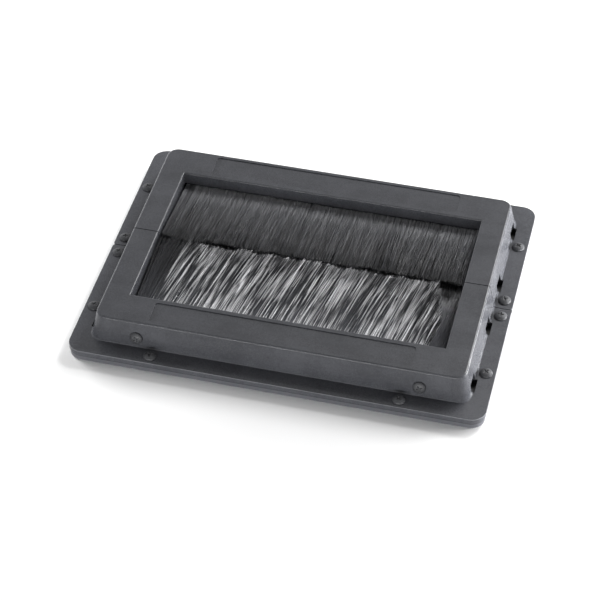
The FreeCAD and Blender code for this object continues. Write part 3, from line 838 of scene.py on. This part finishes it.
# The pale streaks are painted glints, a painted highlight along the threads.
def streaks(given, root, along):
    across = root / STREAK + given.out("Seed") * SEED_STEP
    grid = given.node("ShaderNodeCombineXYZ", sockets={"X": across, "Y": along * STREAK_WAVES})
    swing = given.node("ShaderNodeTexNoise", {"noise_dimensions": "2D"},
                       {"Vector": grid, "Scale": 1.0, "Detail": 1.0})
    drift = wave(given, root, SWATHE, 5) * STREAK_DRIFT
    painted_highlight = (swing - 0.5) * STREAK_SWING + drift + pick(given, 6) * STREAK_SCATTER
    painted_highlight = (painted_highlight + given.out("Pale share") - 0.5) * given.out("Pale depth")
    from_middle = (along * 2 - 1).math("ABSOLUTE")
    middle = 1 - from_middle ** END_POWER * END_FADE
    return (painted_highlight * root.math("GREATER_THAN", given.out("Pale from")) * middle).math("MAXIMUM", 0.0)


def thread_marks(given, root, along):
    """The two numbers that the finish reads."""
    to_tip = 1 - along
    # Near the roots the black is greyer: painted light in the rails' shade.
    tone = given.out("Tone") + pick(given, 5) * TONE_SCATTER + to_tip * to_tip * ROOT_PAINTED_LIGHT
    # Pale roots and tips are painted light where deep shade falls.
    painted_light_ends = to_tip ** ROOT_POWER * given.out("Pale roots") + along ** TIP_POWER * given.out("Pale tips")
    return {"tone": tone, "pale": streaks(given, root, along) + painted_light_ends}


print("streaks", round(STREAK / MM, 2), "mm wide")

# %% [markdown]
# The tree puts the steps together. The two numbers are stored before the lines are bent, because the
# formulas read the place of the straight ones. A thread gets three sides and thins towards its tip.

# %% Bristle tree
THREAD_SIDES = 3
TAPER_POWER = 6
TIP_TAPER = 0.6


def curtain_tree():
    tree, given = new_tree("bristle_curtain", CURTAIN_INPUTS)
    place = given.node("ShaderNodeSeparateXYZ", sockets={"Vector": given.node("GeometryNodeInputPosition")})
    root, along = place.out("X"), place.out("Z")
    threads = straight_threads(given)
    for name, mark in thread_marks(given, root, along).items():
        threads = given.node("GeometryNodeStoreNamedAttribute", {"data_type": "FLOAT", "domain": "POINT"},
                             {"Geometry": threads, "Name": name, "Value": mark})
    bent = bent_place(given, root, along)
    curved = given.node("GeometryNodeSetPosition", sockets={"Geometry": threads, "Position": bent})
    profile = given.node("GeometryNodeCurvePrimitiveCircle", sockets={
        "Resolution": THREAD_SIDES, "Radius": given.out("Thread radius")})
    taper = 1 - given.node("GeometryNodeSplineParameter", output="Factor") ** TAPER_POWER * TIP_TAPER
    swept = given.node("GeometryNodeCurveToMesh", sockets={
        "Curve": curved, "Profile Curve": profile, "Scale": taper})
    finish_tree(given, swept, bristle_nylon)
    return tree


curtain = curtain_tree()
print(curtain.name, "has", len(curtain.nodes), "nodes")

# %% [markdown]
# The sizes of the four curtains follow. The roots lie on the imported wires. The front upper brush is the
# one that cables have bent: it leans to the right, ends short of the right wall and is worn there, and
# carries strong painted glints all along except at its left end. The rear upper brush leans a little to
# the left and has only faint painted glints, with paler roots as painted light in the rail's shade. The
# lower ones show only through gaps, so their threads have fewer joints; their greyer tone and paler tips
# are painted light in the shade of the upper ones.

# %% Grow the bristles
SIDE_ROOM = 0.6 * MM
OPENING_HALF = 106.5 * MM
PAST_END = 200 * MM
FORWARD = {"front": 1.0, "rear": -1.0}
STRAIGHT = {
    "Joints": 6, "Thread radius": 0.24 * MM, "Side limit": OPENING_HALF - SIDE_ROOM,
    "Root spread": 0.7 * MM, "Tip spread": 0.9 * MM, "Ragged": 2.0 * MM, "Frayed": 3.0 * MM,
    "Worn from": PAST_END, "Worn share": 0.0, "Lean": 0.03, "Lean wave": 0.1, "Lean scatter": 0.04,
    "Lean room": 10 * MM, "Bow": 0.02, "Fan": 0.02, "Tone": 0.42,
}
# The lower curtains' pale tips are painted light in the upper brushes' shade.
LOWER = {
    **STRAIGHT, "Threads": 3000, "Joints": 5, "Rise": 5.0 * MM, "Tip gap": -3.0 * MM, "Pale tips": 0.7,
}
CURTAINS = {
    "front_upper": {
        **STRAIGHT, "Threads": 3800, "Joints": 8, "Thread radius": 0.19 * MM,
        "Rise": 6.5 * MM, "Tip gap": 0.5 * MM, "Root end": 91 * MM, "Worn from": 73 * MM, "Worn share": 0.5,
        "Lean": 0.17, "Lean wave": 0.05, "Lean scatter": 0.012, "Bow": 0.045, "Fan": 0.0,
        "Tone": 0.0, "Pale share": 0.40, "Pale depth": 5.4, "Pale from": -97 * MM,
    },
    "rear_upper": {
        **STRAIGHT, "Threads": 2800, "Thread radius": 0.26 * MM, "Rise": 6.0 * MM, "Tip gap": 1.6 * MM,
        "Lean": -0.05, "Lean wave": 0.07, "Fan": 0.0,
        "Tone": 0.0, "Pale share": 0.42, "Pale depth": 0.22, "Pale from": -PAST_END, "Pale roots": 0.7,
    },
    # The lower curtains' greyer tone is painted light in the same shade.
    "front_lower": {**LOWER, "Tone": 0.75},
    "rear_lower": {**LOWER, "Tone": 1.1},
}
for seed, (strip, sizes) in enumerate(CURTAINS.items(), start=1):
    low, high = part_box(strip + "_wire")
    wire = (low + high) / 2
    half = strip.split("_")[0]
    strip_sizes = {
        "Seed": seed, "Forward": FORWARD[half], "Root line": abs(wire.y), "Root height": wire.z,
        "Root start": low.x, "Root end": high.x, "Reach": abs(wire.y) - sizes["Tip gap"], **sizes,
    }
    empty = bpy.data.meshes.new(strip + "_start")
    grow(strip + "_threads", curtain, strip_sizes, empty, strip + "_bristles")
